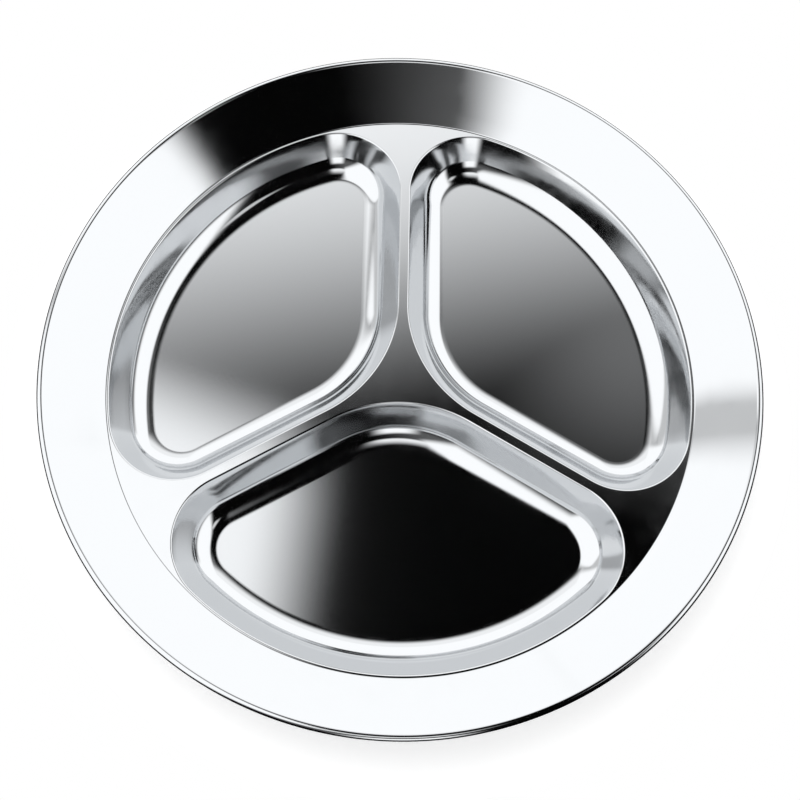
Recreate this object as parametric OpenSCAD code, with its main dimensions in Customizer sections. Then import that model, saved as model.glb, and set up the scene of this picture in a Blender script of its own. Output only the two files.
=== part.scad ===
// Divided plate pressed from one sheet of stainless steel: three compartments round a
// Y-shaped divider, a sloping rim and a rolled edge. The zones of the sheet are separate solids
// that meet face to face where a flat turns into a bend, and one set of sizes drives them all.

/* [Sheet] */
// Diameter of the plate over its rolled edge
plate_d = 240; // [230:1:300]
// Thickness of the steel sheet
sheet_t = 0.6; // [0.4:0.05:0.7]

/* [Rim] */
// Diameter of the flat that the rim rises from
flat_d = 200.4; // [180:0.2:206]
// Rise of the rim, from the flat to the top of the rolled edge
rim_rise = 14.4; // [8:0.1:20]
// Radius of the bend between the flat and the rim, on its upper face
rim_bend_r = 2; // [0.5:0.1:4]
// Diameter of the rolled edge
roll_d = 3; // [2.2:0.1:4]
// How far the rolled edge curls round
roll_turn = 270; // [180:5:285]

/* [Compartments] */
// Depth of a compartment below the flat
depth = 12.7; // [9:0.1:20]
// Width of the divider's flat between two compartments
divider_w = 2.7; // [1:0.1:8]
// Width of the flat that is left between a compartment and the rim
ledge_w = 0.6; // [0.4:0.1:3]
// Radius of a compartment's two outer corners, in plan
corner_r = 23; // [17:0.5:30]
// Radius of a compartment's corner at the middle of the plate, in plan
apex_r = 47; // [30:0.5:56]
// Slope of a compartment's wall from the horizontal
wall_slope = 58; // [50:1:70]
// Radius of the lip between the flat and the wall, on its upper face
lip_r = 0.8; // [0.75:0.05:2]
// Radius of the cove between the wall and the floor, on its upper face
cove_r = 9.5; // [5:0.5:11]

/* [Hidden] */
$fn = 96;
polished_steel = "silver";
satin_steel = "darkgray";

// A curve is divided so that no flat lies farther from it, or turns more, than this
curve_err = 0.04;
curve_turn = 20;

// Directions of the compartments' middle lines; the divider's arms lie halfway between them
front_at = -90;
right_at = 30;
left_at = 150;
arm_at = 60;

// Levels of the sheet's upper face
floor_z = sheet_t;
flat_z = floor_z + depth;

// The rim's straight stretch is tangent to its bend below and to the rolled edge above
roll_r = roll_d / 2;
bend_mid = [flat_d / 2, flat_z + rim_bend_r];
roll_mid = [(plate_d - roll_d) / 2, flat_z + rim_rise - roll_r];
span = roll_mid - bend_mid;
rim_slope = atan2(span.y, span.x) + asin((rim_bend_r + roll_r) / norm(span));

// A wall, from its lip to its cove: length of the straight stretch and whole width in plan
wall_len = (depth - (lip_r + cove_r) * (1 - cos(wall_slope))) / sin(wall_slope);
wall_run = (lip_r + cove_r) * sin(wall_slope) + wall_len * cos(wall_slope);

// A compartment's outline along +X: where its corners and its apex have their middles
side_gap = divider_w / 2;
arc_r = flat_d / 2 - ledge_w;
corner_off_arm = asin((side_gap + corner_r) / (arc_r - corner_r));
corner_at = arm_at - corner_off_arm;
corner_mid = (arc_r - corner_r) * along(corner_at);
apex_mid = [(side_gap + apex_r) / sin(arm_at), 0];

function along(angle) = [cos(angle), sin(angle)];
function mirrored(p) = [p.x, -p.y];
function reversed(list) = [for (i = [len(list) - 1 : -1 : 0]) list[i]];

// Directions that divide a turn finely enough for its radius
function steps(r, from, to) =
    let (n = ceil(abs(to - from) / min(curve_turn, 2 * acos(1 - curve_err / r))))
    [for (i = [0 : n]) from + (to - from) * i / n];

// Stations on the upper face of the sheet, in section: a point and the sheet's normal there.
// On a hump the normal points away from the bend's middle, and in a hollow towards it.
function hump(mid, r, from, to) = [for (a = steps(r, from, to)) [mid + r * along(a), along(a)]];
function hollow(mid, r, from, to) = [for (a = steps(r, from, to)) [mid + r * along(a), -along(a)]];

// Outline of the sheet in section: its upper face, and its lower face a thickness below
function sheet_section(stations) = concat(
    [for (s = stations) s[0]],
    reversed([for (s = stations) s[0] - sheet_t * s[1]]));

// Section of a wall: x is the distance inwards from the outline, y the height above the table
wall_section = sheet_section(concat(
    hump([0, flat_z - lip_r], lip_r, 90, 90 - wall_slope),
    hollow([wall_run, floor_z + cove_r], cove_r, -90 - wall_slope, -90)));

// Stations round a compartment's outline: an arc's middle, its radius and a direction. Straight
// sides run between the arcs, and every inset of the outline has its points on the same stations.
function turn(mid, r, from, to) = [for (a = steps(r, from, to)) [mid, r, a]];
outline_stations = concat(
    turn([0, 0], arc_r, -corner_at, corner_at),
    turn(corner_mid, corner_r, corner_at, arm_at + 90),
    turn(apex_mid, apex_r, arm_at + 90, 270 - arm_at),
    turn(mirrored(corner_mid), corner_r, 270 - arm_at, 360 - corner_at));
function outline(inset) = [for (s = outline_stations) s[0] + (s[1] - inset) * along(s[2])];

// The wall's section swept round the compartment's outline
module swept_wall() {
    n_round = len(outline_stations);
    n_section = len(wall_section);
    points = [for (p = wall_section) for (q = outline(p.x)) [q.x, q.y, p.y]];
    faces = [for (i = [0 : n_section - 1]) for (j = [0 : n_round - 1])
        let (i2 = (i + 1) % n_section, j2 = (j + 1) % n_round)
        [i * n_round + j, i2 * n_round + j, i2 * n_round + j2, i * n_round + j2]];
    polyhedron(points, faces);
}

module compartment_wall(at) color(polished_steel) rotate(at) swept_wall();

module compartment_floor(at) color(satin_steel)
    rotate(at) linear_extrude(sheet_t) polygon(outline(wall_run));

// The flat of the sheet, with the compartments cut out of it
module divider() color(polished_steel) translate([0, 0, flat_z - sheet_t]) linear_extrude(sheet_t)
    difference() {
        circle(flat_d / 2);
        for (at = [front_at, right_at, left_at]) rotate(at) polygon(outline(0));
    }

module rim() color(polished_steel) rotate_extrude() polygon(sheet_section(concat(
    hollow(bend_mid, rim_bend_r, -90, rim_slope - 90),
    [[roll_mid + roll_r * along(rim_slope + 90), along(rim_slope + 90)]])));

// The edge curls outwards, down and back under the rim, which it starts square to
module rolled_edge() color(polished_steel) rotate_extrude() translate(roll_mid) intersection() {
    difference() {
        circle(roll_r);
        circle(roll_r - sheet_t);
    }
    polygon(concat([[0, 0]],
        [for (a = steps(roll_r, rim_slope + 90, rim_slope + 90 - roll_turn)) roll_d * along(a)]));
}

rolled_edge();
rim();
divider();
compartment_wall(front_at);  // front_wall
compartment_floor(front_at);  // front_floor
compartment_wall(right_at);  // right_wall
compartment_floor(right_at);  // right_floor
compartment_wall(left_at);  // left_wall
compartment_floor(left_at);  // left_floor
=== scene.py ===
from math import asin, atan2, ceil, cos, pi, radians, sin

import bpy
from bpy.props import FloatProperty, FloatVectorProperty, PointerProperty
from bpy.types import Operator, Panel, PropertyGroup
from mathutils import Matrix, Vector


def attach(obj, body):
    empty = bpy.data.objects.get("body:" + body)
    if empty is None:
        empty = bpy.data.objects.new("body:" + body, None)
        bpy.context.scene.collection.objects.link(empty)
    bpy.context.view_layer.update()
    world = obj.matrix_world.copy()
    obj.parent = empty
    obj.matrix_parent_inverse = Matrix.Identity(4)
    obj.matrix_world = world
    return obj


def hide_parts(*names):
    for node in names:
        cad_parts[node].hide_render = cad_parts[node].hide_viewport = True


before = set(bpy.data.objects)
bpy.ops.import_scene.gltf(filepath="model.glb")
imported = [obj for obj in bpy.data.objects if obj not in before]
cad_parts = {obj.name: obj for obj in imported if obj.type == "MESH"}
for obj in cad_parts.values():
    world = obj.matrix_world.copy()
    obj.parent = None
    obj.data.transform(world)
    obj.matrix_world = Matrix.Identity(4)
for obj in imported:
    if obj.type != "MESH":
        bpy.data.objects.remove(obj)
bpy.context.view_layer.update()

bl_info = {
    "name": "Divided steel plate",
    "version": (1, 0, 0),
    "blender": (4, 5, 0),
    "location": "View3D > Sidebar > Plate",
    "description": "Presses a divided plate from steel sheet and sets it in a white studio",
    "category": "Object",
}

MM = 0.001
BODY = "root"

# The compartments by name, with the direction of each one's middle line; the divider's arms
# lie ARM either side of that line
COMPARTMENTS = {"front": radians(-90), "right": radians(30), "left": radians(150)}
ARM = radians(60)

# The node trees that press the sheet
SWEPT_SHEET = "Sheet swept along a guide"
FLAT_SHEET = "Flat sheet inside guides"

# How finely the sheet is drawn: the longest step along a guide, and the steps across each
# stretch of a section
PATH_STEP = 1.0 * MM
RIM_BEND_STEPS = 12
ROLL_STEPS = 36
LIP_STEPS = 10
COVE_STEPS = 24
STRAIGHT_STEPS = 4

# An edge that turns more than this stays sharp, and points that are nearer than this are one
SHARP_TURN = radians(40)
MERGE_DISTANCE = 0.001 * MM

# From the plate's base down to the floor, so that the two don't lie in one plane
FLOOR_GAP = 0.05 * MM

# Where the soft lamp hangs, in metres; it faces the plate
LAMP_AT = Vector((-0.3, 0.3, 1.2))

# Strength of the world for matt surfaces and for the eye, what the floor adds to come out white,
# and the darkest and the lightest part of the room that metal shows
PLAIN_LIGHT = 0.8
WHITE = 1.0
FLOOR_LIFT = 0.36
ROOM_DARK, ROOM_LIGHT = 0.002, 1.55

# The room that metal shows: panels with soft edges, on dark. Each has its level, from dark to
# light, and its edges. An edge is a vector, with x to the right, y to the far side and z up, and
# how far a direction must point along it for the panel to begin to show and to show fully.
ROOM = {
    "far wall": (0.88, ((-0.22, 1, -0.5), -0.182, 0.135), ((1, 0, 0), -0.5, -0.25),
                 ((-1, 0, 0), -0.95, -0.75)),
    "foot of the far wall": (1.0, ((0, 1, -0.8), -0.1, 0.15), ((1, 0, 0), -0.5, -0.25),
                             ((-1, 0, 0), -0.95, -0.75)),
    "far left corner": (1.0, ((0.447, 1, -0.27), -0.1, 0.16), ((-1, 0, 0), 0.1, 0.3)),
    "left wall": (1.0, ((-1, 0.1, -0.09), -0.04, 0.05), ((-1, 0.843, 0.4825), -0.14, 0.2),
                  ((-0.447, -1, 0.26), -0.07, 0.05), ((-0.2, -1, 0.63), -0.08, 0.11)),
    "seam beside the left wall": (0.54, ((-1, 0, -0.8), 0.1, 0.3), ((0, 1, 0), 0.2, 0.3)),
    "right wall": (1.0, ((1, 0, -0.36), -0.09, 0.08), ((1, 0.86, -0.46), -0.1, 0.1),
                   ((1, 1.1, -0.38), -0.11, 0.15), ((0, 0, 1), 0.1, 0.36)),
    "screen before the right wall": (0.6, ((1, 0, -0.45), -0.03, 0.03),
                                     ((-1, 0, 0.66), -0.05, 0.05), ((0, 1, 0.38), -0.06, 0.06),
                                     ((0, -1, -0.1), -0.09, 0.09)),
    "glow in the far right corner": (0.15, ((0, 1, -0.3), -0.06, 0.1),
                                     ((1, 0, -0.15), -0.08, 0.08)),
    "near wall": (0.1, ((0, -1, 0), 0.35, 0.6), ((-1, -0.27, 0), -0.08, 0.5),
                  ((0, 0, 1), 0.1, 0.5)),
    "strip overhead": (0.9, ((-1, -0.3, 0), -0.15, 0.03), ((0, -1, 0), 0.08, 0.5),
                       ((0, 0, 1), 0.8, 0.87)),
    "gap in the near wall": (1.0, ((1, -0.14, 0), -0.1, 0.11), ((-1, -0.268, 0), -0.1, 0.11),
                             ((0, 0, -1), -0.65, -0.45), ((0, -1, 0), 0.3, 0.5)),
}
# The lower edge of all the panels
HORIZON = ((0, 0, 1), 0.0, 0.06)

# A noise texture stays mostly between these values
NOISE_LOW, NOISE_HIGH = 0.3, 0.7


def linear(code):
    """Linear colour of an sRGB hex code."""
    shares = [int(code[i:i + 2], 16) / 255 for i in (1, 3, 5)]
    return tuple(s / 12.92 if s <= 0.04045 else ((s + 0.055) / 1.055) ** 2.4 for s in shares)


def length(name, size, description):
    """A length that a user can set, given in millimetres."""
    return FloatProperty(name=name, description=description, default=size * MM, min=0,
                         precision=5, subtype="DISTANCE", unit="LENGTH")


def angle(name, size, description):
    """An angle that a user can set, given in degrees."""
    return FloatProperty(name=name, description=description, default=radians(size),
                         subtype="ANGLE", unit="ROTATION")


def colour(name, code, description):
    """A colour that a user can set, given as an sRGB hex code."""
    return FloatVectorProperty(name=name, description=description, default=linear(code),
                               size=3, min=0, max=1, subtype="COLOR")


def along(direction):
    """Unit vector in a direction of the plan."""
    return Vector((cos(direction), sin(direction)))


class PlateSizes(PropertyGroup):
    """Sizes of the pressed sheet, on its upper face. The rim's bend, the ledge and the lip are
    drawn a little tighter than in the solids, as the photograph shows them."""
    plate_d: length("Plate diameter", 240, "Diameter over the rolled edge")
    sheet_t: length("Sheet thickness", 0.6, "Thickness of the steel sheet")
    flat_d: length("Flat diameter", 200.4, "Diameter of the flat that the rim rises from")
    rim_rise: length("Rim rise", 14.4, "From the flat to the top of the rolled edge")
    rim_bend_r: length("Rim bend radius", 1, "Bend between the flat and the rim")
    roll_d: length("Roll diameter", 3, "Diameter of the rolled edge")
    roll_turn: angle("Roll turn", 270, "How far the rolled edge curls round")
    depth: length("Depth", 12.7, "Depth of a compartment below the flat")
    divider_w: length("Divider width", 2.7, "Width of the flat between two compartments")
    ledge_w: length("Ledge width", 0.3, "Flat left between a compartment and the rim")
    corner_r: length("Corner radius", 23, "A compartment's two outer corners, in plan")
    apex_r: length("Apex radius", 47, "A compartment's corner at the middle, in plan")
    wall_slope: angle("Wall slope", 58, "Slope of a compartment's wall")
    lip_r: length("Lip radius", 0.7, "Bend between the flat and the wall")
    cove_r: length("Cove radius", 9.5, "Bend between the wall and the floor")

    @property
    def flat_z(self):
        """Height of the flat."""
        return self.sheet_t + self.depth

    @property
    def roll_r(self):
        """Radius of the rolled edge."""
        return self.roll_d / 2

    @property
    def rim_span(self):
        """From the middle of the rim's bend to the middle of the rolled edge, in section."""
        return Vector((self.plate_d / 2 - self.roll_r - self.flat_d / 2,
                       self.rim_rise - self.roll_r - self.rim_bend_r))

    @property
    def rim_slope(self):
        """Slope of the rim's straight stretch."""
        span = self.rim_span
        return atan2(span.y, span.x) + asin((self.rim_bend_r + self.roll_r) / span.length)

    @property
    def rim_len(self):
        """Straight stretch of the rim, tangent to its bend and to the rolled edge."""
        return (self.rim_span.length_squared - (self.rim_bend_r + self.roll_r) ** 2) ** 0.5

    @property
    def wall_len(self):
        """Straight stretch of a wall, between its lip and its cove."""
        bends = (self.lip_r + self.cove_r) * (1 - cos(self.wall_slope))
        return (self.depth - bends) / sin(self.wall_slope)

    @property
    def wall_run(self):
        """Whole width of a wall in plan."""
        bends = (self.lip_r + self.cove_r) * sin(self.wall_slope)
        return bends + self.wall_len * cos(self.wall_slope)


class SteelFinish(PropertyGroup):
    """Colours of the steel's two finishes."""
    polished: colour("Polished steel", "#CED0D2", "Rim, rolled edge, divider and walls")
    satin: colour("Satin steel", "#C7C9CB", "Compartment floors")


class StudioSettings(PropertyGroup):
    """Floor, lamp and camera."""
    floor_r: length("Floor radius", 138, "Radius of the pale floor")
    floor: colour("Floor", "#F7F7F7", "Colour of the floor")
    lamp_d: length("Lamp diameter", 800, "Diameter of the soft lamp")
    lamp_power: FloatProperty(name="Lamp power", description="Power of the soft lamp",
                              default=3, min=0, unit="POWER")
    turn: angle("Camera turn", -3.02, "Direction of the camera round the plate, from the front")
    height: angle("Camera height", 69.68, "Angle of the camera above the table")
    roll: angle("Camera roll", 4.29, "Turn of the camera about its own axis")
    distance: length("Camera distance", 396, "From the camera to the middle of the divider")
    lens: FloatProperty(name="Lens", description="Focal length of the camera", default=52.03,
                        min=1, subtype="DISTANCE_CAMERA", unit="CAMERA")
    shift: FloatVectorProperty(name="Shift", description="Shift of the camera's frame",
                               default=(-0.0021, -0.0288), size=2, subtype="XYZ")


def add(tree, kind, feeds=None, **settings):
    """Adds a node to a tree, sets it, and feeds its inputs with values or with other nodes."""
    node = tree.nodes.new(kind)
    for name, value in settings.items():
        setattr(node, name, value)
    for key, value in (feeds or {}).items():
        if isinstance(value, bpy.types.Node):
            value = value.outputs[0]
        if isinstance(value, bpy.types.NodeSocket):
            tree.links.new(value, node.inputs[key])
        else:
            node.inputs[key].default_value = value
    return node


def sheet_tree(name, sizes):
    """A node tree that makes sheet from a guide, with inputs for its sizes, and the sockets that
    these come in by."""
    tree = bpy.data.node_groups.new(name, "GeometryNodeTree")
    tree.interface.new_socket("Guide", in_out="INPUT", socket_type="NodeSocketGeometry")
    for size, kind in sizes.items():
        tree.interface.new_socket(size, in_out="INPUT", socket_type=kind)
    tree.interface.new_socket("Sheet Thickness", in_out="INPUT", socket_type="NodeSocketFloat")
    tree.interface.new_socket("Finish", in_out="INPUT", socket_type="NodeSocketMaterial")
    tree.interface.new_socket("Sheet", in_out="OUTPUT", socket_type="NodeSocketGeometry")
    return tree, add(tree, "NodeGroupInput").outputs


def close_tree(tree, sheet, finish):
    """Ends a sheet tree: smooth bends, sharp sheared edges, one real mesh with its finish."""
    bend = add(tree, "FunctionNodeCompare", {"A": add(tree, "GeometryNodeInputMeshEdgeAngle"),
                                             "B": SHARP_TURN}, operation="LESS_THAN")
    faces = add(tree, "GeometryNodeSetShadeSmooth", {"Geometry": sheet, "Shade Smooth": True},
                domain="FACE")
    edges = add(tree, "GeometryNodeSetShadeSmooth", {"Geometry": faces, "Shade Smooth": bend},
                domain="EDGE")
    real = add(tree, "GeometryNodeRealizeInstances", {"Geometry": edges})
    dressed = add(tree, "GeometryNodeSetMaterial", {"Geometry": real, "Material": finish})
    add(tree, "NodeGroupOutput", {"Sheet": dressed})


def swept_sheet_tree():
    """Sheet of one section swept along a closed guide. The section leaves the guide to its right
    with a slope and has a bend, a straight stretch and a second bend. A radius is positive where
    the sheet bends upwards and negative where it bends downwards."""
    number, whole = "NodeSocketFloat", "NodeSocketInt"
    tree, given = sheet_tree(SWEPT_SHEET, {
        "Start Out": number, "Start Up": number, "Start Slope": number,
        "First Radius": number, "First Turn": number, "Straight": number,
        "Second Radius": number, "Second Turn": number,
        "First Steps": whole, "Straight Steps": whole, "Second Steps": whole})

    # Stations run along the upper face and come back along the lower one
    index = add(tree, "GeometryNodeInputIndex")
    bend_end = given["First Steps"]
    straight_end = add(tree, "ShaderNodeMath", {0: bend_end, 1: given["Straight Steps"]})
    last = add(tree, "ShaderNodeMath", {0: straight_end, 1: given["Second Steps"]})
    end = add(tree, "ShaderNodeMath", {0: last, 1: 2.0, 2: 1.0}, operation="MULTIPLY_ADD")
    count = add(tree, "ShaderNodeMath", {0: end, 1: 1.0})
    back = add(tree, "ShaderNodeMath", {0: end, 1: index}, operation="SUBTRACT")
    station = add(tree, "ShaderNodeMath", {0: index, 1: back}, operation="MINIMUM")
    below = add(tree, "ShaderNodeMath", {0: index, 1: last}, operation="GREATER_THAN")

    # How much of each stretch lies behind a station, and the sheet's slopes that follow from it
    turn, run, turn_back = (
        add(tree, "ShaderNodeMapRange", {"Value": station, "From Min": begin, "From Max": full,
                                         "To Min": 0.0, "To Max": given[stretch]})
        for begin, full, stretch in ((0.0, bend_end, "First Turn"),
                                     (bend_end, straight_end, "Straight"),
                                     (straight_end, last, "Second Turn")))
    slope = given["Start Slope"]
    on_bend = add(tree, "ShaderNodeMath", {0: slope, 1: turn})
    steady = add(tree, "ShaderNodeMath", {0: slope, 1: given["First Turn"]})
    on_second = add(tree, "ShaderNodeMath", {0: steady, 1: turn_back})
    here = add(tree, "ShaderNodeMath", {0: on_bend, 1: turn_back})

    # The upper face: on a bend the sheet moves by the radius times the change of its foot, the
    # direction square to the slope and down. The lower face lies a thickness along the foot.
    start = add(tree, "ShaderNodeCombineXYZ", {"X": given["Start Out"], "Y": given["Start Up"]})
    feet = [add(tree, "ShaderNodeVectorRotate", {"Vector": (0, -1, 0), "Angle": by},
                rotation_type="Z_AXIS") for by in (slope, on_bend, steady, on_second, here)]
    ahead = add(tree, "ShaderNodeVectorRotate", {"Vector": (1, 0, 0), "Angle": steady},
                rotation_type="Z_AXIS")
    through = add(tree, "ShaderNodeMath", {0: below, 1: given["Sheet Thickness"]},
                  operation="MULTIPLY")
    face = start
    for foot, before, by in ((feet[1], feet[0], given["First Radius"]), (ahead, None, run),
                             (feet[3], feet[2], given["Second Radius"]),
                             (feet[4], None, through)):
        if before:
            foot = add(tree, "ShaderNodeVectorMath", {0: foot, 1: before}, operation="SUBTRACT")
        move = add(tree, "ShaderNodeVectorMath", {0: foot, "Scale": by}, operation="SCALE")
        face = add(tree, "ShaderNodeVectorMath", {0: face, 1: move})
    # A section's Y axis points down where a guide's normals keep level
    face = add(tree, "ShaderNodeVectorMath", {0: face, 1: (1, -1, 1)}, operation="MULTIPLY")

    line = add(tree, "GeometryNodeResampleCurve",
               {"Curve": add(tree, "GeometryNodeCurvePrimitiveLine"), "Count": count})
    ring = add(tree, "GeometryNodeSetSplineCyclic", {"Geometry": line, "Cyclic": True})
    section = add(tree, "GeometryNodeSetPosition", {"Geometry": ring, "Position": face})
    path = add(tree, "GeometryNodeSetCurveNormal",
               {"Curve": add(tree, "GeometryNodeMeshToCurve", {"Mesh": given["Guide"]})},
               mode="Z_UP")
    swept = add(tree, "GeometryNodeCurveToMesh", {"Curve": path, "Profile Curve": section})
    close_tree(tree, swept, given["Finish"])
    return tree


def flat_sheet_tree():
    """Flat sheet inside closed guides, its upper face at a height."""
    tree, given = sheet_tree(FLAT_SHEET, {"Height": "NodeSocketFloat"})
    loops = add(tree, "GeometryNodeMeshToCurve", {"Mesh": given["Guide"]})
    under = add(tree, "GeometryNodeFillCurve", {"Curve": loops})
    over = add(tree, "GeometryNodeExtrudeMesh",
               {"Mesh": under, "Offset Scale": given["Sheet Thickness"], "Individual": False})
    body = add(tree, "GeometryNodeJoinGeometry")
    for half in (over, add(tree, "GeometryNodeFlipFaces", {"Mesh": under})):
        tree.links.new(half.outputs[0], body.inputs[0])
    closed = add(tree, "GeometryNodeMergeByDistance", {"Geometry": body,
                                                       "Distance": MERGE_DISTANCE})
    base = add(tree, "ShaderNodeMath", {0: given["Height"], 1: given["Sheet Thickness"]},
               operation="SUBTRACT")
    raised = add(tree, "GeometryNodeTransform", {
        "Geometry": closed, "Translation": add(tree, "ShaderNodeCombineXYZ", {"Z": base})})
    close_tree(tree, raised, given["Finish"])
    return tree


def node_tree(name, make):
    """The node tree of that name, made on first use."""
    return bpy.data.node_groups.get(name) or make()


def press(name, node, slot, finish, tree, guides, thickness, **sizes):
    """Makes a piece of sheet with a node tree, as a plain mesh, and hands it to the frame."""
    guide = bpy.data.meshes.new(name + "_guide")
    points, edges = [], []
    for loop in guides:
        first, n = len(points), len(loop)
        points += loop
        edges += [(first + i, first + (i + 1) % n) for i in range(n)]
    guide.from_pydata(points, edges, [])
    piece = bpy.data.objects.new(name, guide)
    bpy.context.scene.collection.objects.link(piece)
    modifier = piece.modifiers.new("Press", "NODES")
    modifier.node_group = tree
    sizes = {key.replace("_", " ").title(): value for key, value in sizes.items()}
    sizes.update({"Sheet Thickness": thickness, "Finish": finish})
    for socket in tree.interface.items_tree:
        if socket.in_out == "INPUT" and socket.name in sizes:
            modifier[socket.identifier] = sizes[socket.name]
    evaluated = piece.evaluated_get(bpy.context.evaluated_depsgraph_get())
    mesh = bpy.data.meshes.new_from_object(evaluated)
    if not mesh.polygons:
        raise RuntimeError(f"{name} came out empty")
    piece.modifiers.remove(modifier)
    piece.data = mesh
    mesh.name = name
    # A flat sheet comes out with an empty slot before its finish, so each piece gets one slot
    mesh.polygons.foreach_set("material_index", [0] * len(mesh.polygons))
    mesh.materials.clear()
    mesh.materials.append(finish)
    bpy.data.meshes.remove(guide)
    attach(piece, BODY)
    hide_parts(node)


def circle(radius, z):
    """A closed guide round the plate's middle, counter-clockwise seen from above."""
    n = ceil(2 * pi * radius / PATH_STEP)
    return [(*(radius * along(2 * pi * i / n)), z) for i in range(n)]


def compartment(sizes, at, inset, z):
    """A closed guide round a compartment, a distance inside its outline, clockwise."""
    gap = sizes.divider_w / 2
    arc_r = sizes.flat_d / 2 - sizes.ledge_w
    corner_at = ARM - asin((gap + sizes.corner_r) / (arc_r - sizes.corner_r))
    corner = (arc_r - sizes.corner_r) * along(corner_at)
    apex = Vector(((gap + sizes.apex_r) / sin(ARM), 0))
    arcs = [(Vector((0, 0)), arc_r, -corner_at, corner_at),
            (corner, sizes.corner_r, corner_at, ARM + pi / 2),
            (apex, sizes.apex_r, ARM + pi / 2, 1.5 * pi - ARM),
            (Vector((corner.x, -corner.y)), sizes.corner_r, 1.5 * pi - ARM, 2 * pi - corner_at)]
    loop = []
    for i, (middle, radius, start, end) in enumerate(arcs):
        n = ceil((end - start) * radius / PATH_STEP)
        turn = [start + (end - start) * k / n for k in range(n + 1)]
        loop += [middle + (radius - inset) * along(a) for a in turn]
        # A straight side runs on to the next arc, unless the two arcs touch
        after = arcs[(i + 1) % len(arcs)]
        here = loop[-1]
        there = after[0] + (after[1] - inset) * along(after[2])
        side = (there - here).length
        if side < PATH_STEP / 2:
            loop.pop()
            continue
        n = ceil(side / PATH_STEP)
        loop += [here.lerp(there, k / n) for k in range(1, n)]
    turned = Matrix.Rotation(at, 2)
    return [(*(turned @ p), z) for p in reversed(loop)]


class PLATE_OT_rim(Operator):
    """Presses the sloping rim, with the bend that lifts it from the flat"""
    bl_idname = "plate.rim"
    bl_label = "Press rim"

    def execute(self, context):
        s = context.scene.plate_sizes
        press("sloping_rim", "rim", "polished_steel", polished_steel(context),
              node_tree(SWEPT_SHEET, swept_sheet_tree), [circle(s.flat_d / 2, s.flat_z)],
              s.sheet_t, first_radius=s.rim_bend_r, first_turn=s.rim_slope, straight=s.rim_len,
              first_steps=RIM_BEND_STEPS, straight_steps=STRAIGHT_STEPS)
        return {"FINISHED"}


class PLATE_OT_rolled_edge(Operator):
    """Curls the sheet's edge outwards, down and back under the rim"""
    bl_idname = "plate.rolled_edge"
    bl_label = "Roll edge"

    def execute(self, context):
        s = context.scene.plate_sizes
        start = s.rim_slope + pi / 2
        out = s.plate_d / 2 - s.roll_r + s.roll_r * cos(start) - s.flat_d / 2
        up = s.rim_rise - s.roll_r + s.roll_r * sin(start)
        press("curled_edge", "rolled_edge", "polished_steel", polished_steel(context),
              node_tree(SWEPT_SHEET, swept_sheet_tree), [circle(s.flat_d / 2, s.flat_z)],
              s.sheet_t, start_out=out, start_up=up, start_slope=s.rim_slope,
              first_radius=-s.roll_r, first_turn=-s.roll_turn, first_steps=ROLL_STEPS)
        return {"FINISHED"}


class PLATE_OT_divider(Operator):
    """Cuts the Y-shaped flat between the compartments, with the ledge under the rim"""
    bl_idname = "plate.divider"
    bl_label = "Cut divider"

    def execute(self, context):
        s = context.scene.plate_sizes
        holes = [compartment(s, at, 0, s.flat_z) for at in COMPARTMENTS.values()]
        press("y_divider", "divider", "polished_steel", polished_steel(context),
              node_tree(FLAT_SHEET, flat_sheet_tree),
              [circle(s.flat_d / 2, s.flat_z)] + holes, s.sheet_t, height=s.flat_z)
        return {"FINISHED"}


class PLATE_OT_walls(Operator):
    """Sweeps the walls of the compartments: lip, straight slope and cove"""
    bl_idname = "plate.walls"
    bl_label = "Draw walls"

    def execute(self, context):
        s = context.scene.plate_sizes
        for name, at in COMPARTMENTS.items():
            press(f"{name}_compartment_wall", f"{name}_wall", "polished_steel",
                  drawn_steel(context), node_tree(SWEPT_SHEET, swept_sheet_tree),
                  [compartment(s, at, 0, s.flat_z)], s.sheet_t,
                  first_radius=-s.lip_r, first_turn=-s.wall_slope, straight=s.wall_len,
                  second_radius=s.cove_r, second_turn=s.wall_slope, first_steps=LIP_STEPS,
                  straight_steps=STRAIGHT_STEPS, second_steps=COVE_STEPS)
        return {"FINISHED"}


class PLATE_OT_floors(Operator):
    """Cuts the flat floors of the compartments, which the plate stands on"""
    bl_idname = "plate.floors"
    bl_label = "Cut floors"

    def execute(self, context):
        s = context.scene.plate_sizes
        for name, at in COMPARTMENTS.items():
            press(f"{name}_compartment_floor", f"{name}_floor", "satin_steel",
                  satin_steel(context), node_tree(FLAT_SHEET, flat_sheet_tree),
                  [compartment(s, at, s.wall_run, s.sheet_t)], s.sheet_t, height=s.sheet_t)
        return {"FINISHED"}


def new_material(name):
    """An empty node material."""
    material = bpy.data.materials.new(name)
    material.use_nodes = True
    material.node_tree.nodes.clear()
    return material


def steel(name, tint, surface):
    """The steel of that name, made on first use. The surface function draws what the making left
    on the sheet, and gives the roughness and the normal."""
    if name in bpy.data.materials:
        return bpy.data.materials[name]
    material = new_material(name)
    tree = material.node_tree
    rough, bent = surface(tree, add(tree, "ShaderNodeTexCoord").outputs["Object"])
    metal = add(tree, "ShaderNodeBsdfPrincipled", {"Base Color": (*tint, 1), "Metallic": 1.0,
                                                   "Roughness": rough, "Normal": bent})
    add(tree, "ShaderNodeOutputMaterial", {"Surface": metal})
    return material


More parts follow.
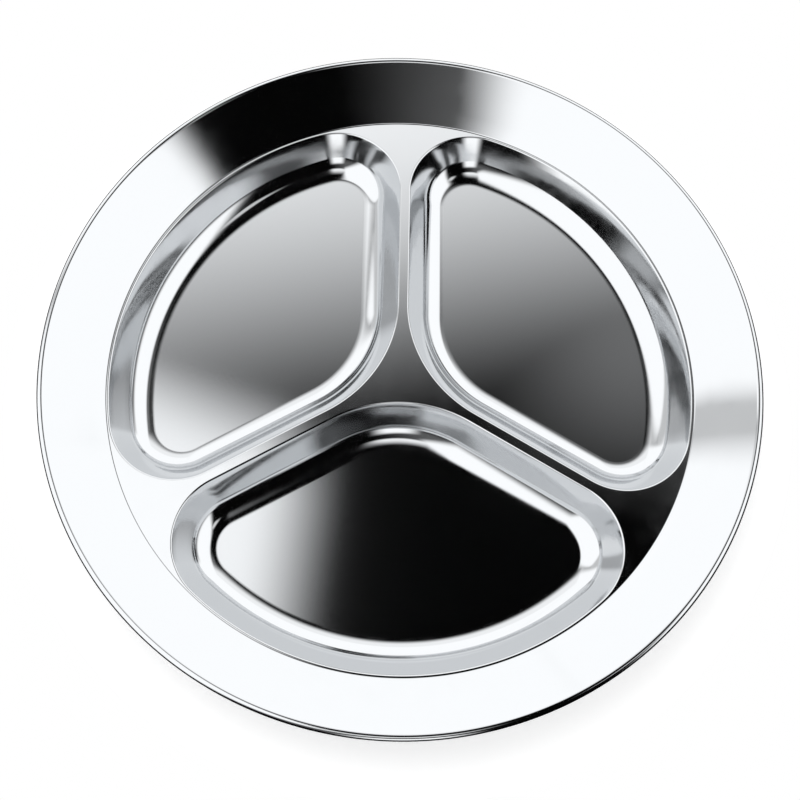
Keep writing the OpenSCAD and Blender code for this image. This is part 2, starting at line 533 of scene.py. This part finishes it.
def polished_surface(tree, place):
    """A mirror that shows the room clearly, but for buffing patches and a faint waviness."""
    # Buffing leaves soft patches some 8 mm across that are a little less clear than the rest
    patches = add(tree, "ShaderNodeTexNoise", {"Vector": place, "Scale": 1 / (8 * MM)})
    rough = add(tree, "ShaderNodeMapRange", {
        "Value": patches, "From Min": NOISE_LOW, "From Max": NOISE_HIGH,
        "To Min": 0.05, "To Max": 0.09})
    # Pressing leaves the sheet very slightly wavy, over some 30 mm, so long reflections waver
    waves = add(tree, "ShaderNodeTexNoise", {"Vector": place, "Scale": 1 / (30 * MM),
                                             "Detail": 0.0})
    bent = add(tree, "ShaderNodeBump", {"Height": waves, "Strength": 1.0, "Distance": 0.05 * MM})
    return rough, bent


def drawn_surface(tree, place):
    """A mirror with slightly softer edges, because the sheet was stretched into the tool."""
    # Buffing clears the drawn wall again, except for patches some 6 mm across
    patches = add(tree, "ShaderNodeTexNoise", {"Vector": place, "Scale": 1 / (6 * MM)})
    rough = add(tree, "ShaderNodeMapRange", {
        "Value": patches, "From Min": NOISE_LOW, "From Max": NOISE_HIGH,
        "To Min": 0.06, "To Max": 0.1})
    # Stretching over the tool leaves a faint orange peel, some 3 mm across, that softens edges
    peel = add(tree, "ShaderNodeTexNoise", {"Vector": place, "Scale": 1 / (3 * MM),
                                            "Detail": 1.0})
    bent = add(tree, "ShaderNodeBump", {"Height": peel, "Strength": 1.0, "Distance": 0.002 * MM})
    return rough, bent


def satin_surface(tree, place):
    """A fine grain over a still clear reflection, which spreads its edges into even gradients."""
    # The rolls leave a fine grain, drawn out along the sheet; it is drawn 0.3 mm wide to show
    stretched = add(tree, "ShaderNodeMapping", {"Vector": place, "Scale": (1, 0.3, 1)})
    grain = add(tree, "ShaderNodeTexNoise", {"Vector": stretched, "Scale": 1 / (0.3 * MM),
                                             "Detail": 2.0})
    rough = add(tree, "ShaderNodeMapRange", {
        "Value": grain, "From Min": NOISE_LOW, "From Max": NOISE_HIGH,
        "To Min": 0.05, "To Max": 0.08})
    bent = add(tree, "ShaderNodeBump", {"Height": grain, "Strength": 1.0,
                                        "Distance": 0.0002 * MM})
    return rough, bent


def polished_steel(context):
    """Stainless steel sheet, mirror polished: rim, rolled edge and divider."""
    return steel("Stainless steel, mirror polished", context.scene.plate_finish.polished,
                 polished_surface)


def drawn_steel(context):
    """Stainless steel sheet, deep drawn and buffed: the compartments' walls."""
    return steel("Stainless steel, deep drawn", context.scene.plate_finish.polished,
                 drawn_surface)


def satin_steel(context):
    """Stainless steel sheet, satin rolled: the compartments' floors."""
    return steel("Stainless steel, satin rolled", context.scene.plate_finish.satin,
                 satin_surface)


def studio_world():
    """White surroundings: plain light from all round for matt surfaces, white for the eye, and
    the panels of the room for metal."""
    world = bpy.data.worlds.new("White studio")
    world.use_nodes = True
    # Metal looks the world up by its own rays only, so that it shows one picture of it
    world.cycles.sampling_method = "NONE"
    tree = world.node_tree
    tree.nodes.clear()
    rays = add(tree, "ShaderNodeLightPath").outputs
    way = add(tree, "ShaderNodeTexCoord").outputs["Generated"]

    def inside(level, edges):
        """A level that fades out across soft edges."""
        for normal, begin, full in edges:
            off = add(tree, "ShaderNodeVectorMath", {0: way, 1: normal}, operation="DOT_PRODUCT")
            share = add(tree, "ShaderNodeMapRange",
                        {"Value": off.outputs["Value"], "From Min": begin, "From Max": full,
                         "To Min": 0.0, "To Max": 1.0}, interpolation_type="SMOOTHSTEP")
            level = add(tree, "ShaderNodeMath", {0: level, 1: share}, operation="MULTIPLY")
        return level

    light = 0.0
    for level, *edges in ROOM.values():
        light = add(tree, "ShaderNodeMath", {0: light, 1: inside(level, edges)},
                    operation="MAXIMUM")
    reflected = add(tree, "ShaderNodeMapRange", {"Value": inside(light, [HORIZON]),
                                                 "To Min": ROOM_DARK, "To Max": ROOM_LIGHT})
    plain, white, room = (
        add(tree, "ShaderNodeBackground", {"Color": (1, 1, 1, 1), "Strength": strength})
        for strength in (PLAIN_LIGHT, WHITE, reflected))
    seen = add(tree, "ShaderNodeMath", {0: rays["Is Camera Ray"],
                                        1: rays["Is Transmission Ray"]}, operation="MAXIMUM")
    backdrop = add(tree, "ShaderNodeMixShader", {0: seen, 1: plain, 2: white})
    mixed = add(tree, "ShaderNodeMixShader", {0: rays["Is Glossy Ray"], 1: backdrop, 2: room})
    add(tree, "ShaderNodeOutputWorld", {"Surface": mixed})
    return world


def pale_floor(context):
    """Matt white board: even and shadow-keeping, lifted to white for the eye and for metal."""
    material = new_material("White board, matt painted")
    tree = material.node_tree
    rays = add(tree, "ShaderNodeLightPath").outputs
    seen = rays["Is Camera Ray"]
    for ray in ("Is Glossy Ray", "Is Transmission Ray"):
        seen = add(tree, "ShaderNodeMath", {0: seen, 1: rays[ray]}, operation="MAXIMUM")
    paint = add(tree, "ShaderNodeBsdfDiffuse", {"Color": (*context.scene.plate_studio.floor, 1)})
    lift = add(tree, "ShaderNodeEmission", {"Color": (1, 1, 1, 1), "Strength": add(
        tree, "ShaderNodeMath", {0: seen, 1: FLOOR_LIFT}, operation="MULTIPLY")})
    board = add(tree, "ShaderNodeAddShader", {0: paint, 1: lift})
    # It has no underside, so that the plate shows in a view from below
    under = add(tree, "ShaderNodeNewGeometry").outputs["Backfacing"]
    one_sided = add(tree, "ShaderNodeMixShader", {0: under, 1: board,
                                                  2: add(tree, "ShaderNodeBsdfTransparent")})
    add(tree, "ShaderNodeOutputMaterial", {"Surface": one_sided})
    return material


class PLATE_OT_stage(Operator):
    """Sets the floor, the light and the camera"""
    bl_idname = "plate.stage"
    bl_label = "Set stage"

    def execute(self, context):
        scene = context.scene
        studio, sizes = scene.plate_studio, scene.plate_sizes
        board = bpy.data.meshes.new("floor")
        ring = circle(studio.floor_r, -FLOOR_GAP)
        board.from_pydata(ring, [], [range(len(ring))])
        board.materials.append(pale_floor(context))
        floor = bpy.data.objects.new("floor", board)
        scene.collection.objects.link(floor)

        scene.world = studio_world()
        lamp = bpy.data.lights.new("soft_lamp", "AREA")
        lamp.shape = "DISK"
        lamp.size = studio.lamp_d
        lamp.energy = studio.lamp_power
        key = bpy.data.objects.new("soft_lamp", lamp)
        facing = LAMP_AT.to_track_quat("Z", "Y").to_matrix().to_4x4()
        key.matrix_world = Matrix.Translation(LAMP_AT) @ facing
        key.visible_glossy = False
        scene.collection.objects.link(key)

        back = Vector((sin(studio.turn) * cos(studio.height),
                       -cos(studio.turn) * cos(studio.height), sin(studio.height)))
        right = Vector((cos(studio.turn), sin(studio.turn), 0))
        up = back.cross(right)
        side = right * cos(studio.roll) + up * sin(studio.roll)
        top = up * cos(studio.roll) - right * sin(studio.roll)
        camera = bpy.data.objects.new("camera", bpy.data.cameras.new("camera"))
        camera.data.lens = studio.lens
        camera.data.shift_x, camera.data.shift_y = studio.shift
        place = Vector((0, 0, sizes.flat_z)) + studio.distance * back
        facing = Matrix((side, top, back)).transposed().to_4x4()
        camera.matrix_world = Matrix.Translation(place) @ facing
        scene.collection.objects.link(camera)
        scene.camera = camera
        scene.view_settings.view_transform = "Standard"
        return {"FINISHED"}


STEPS = (PLATE_OT_stage, PLATE_OT_rim, PLATE_OT_rolled_edge, PLATE_OT_divider, PLATE_OT_walls,
         PLATE_OT_floors)
SETTINGS = {"plate_sizes": PlateSizes, "plate_finish": SteelFinish,
            "plate_studio": StudioSettings}


class PLATE_PT_panel(Panel):
    """Sizes, finishes and studio of the plate, with the steps that make it"""
    bl_idname = "PLATE_PT_panel"
    bl_label = "Divided plate"
    bl_space_type = "VIEW_3D"
    bl_region_type = "UI"
    bl_category = "Plate"

    def draw(self, context):
        for step in STEPS:
            self.layout.operator(step.bl_idname)
        for name, group in SETTINGS.items():
            box = self.layout.box()
            for setting in group.__annotations__:
                box.prop(getattr(context.scene, name), setting)


CLASSES = (*SETTINGS.values(), *STEPS, PLATE_PT_panel)


def register():
    for cls in CLASSES:
        bpy.utils.register_class(cls)
    for name, group in SETTINGS.items():
        setattr(bpy.types.Scene, name, PointerProperty(type=group))


def unregister():
    for name in SETTINGS:
        delattr(bpy.types.Scene, name)
    for cls in reversed(CLASSES):
        bpy.utils.unregister_class(cls)


def main():
    register()
    bpy.ops.plate.stage()
    bpy.ops.plate.rim()
    bpy.ops.plate.rolled_edge()
    bpy.ops.plate.divider()
    bpy.ops.plate.walls()
    bpy.ops.plate.floors()


if __name__ == "__main__":
    main()
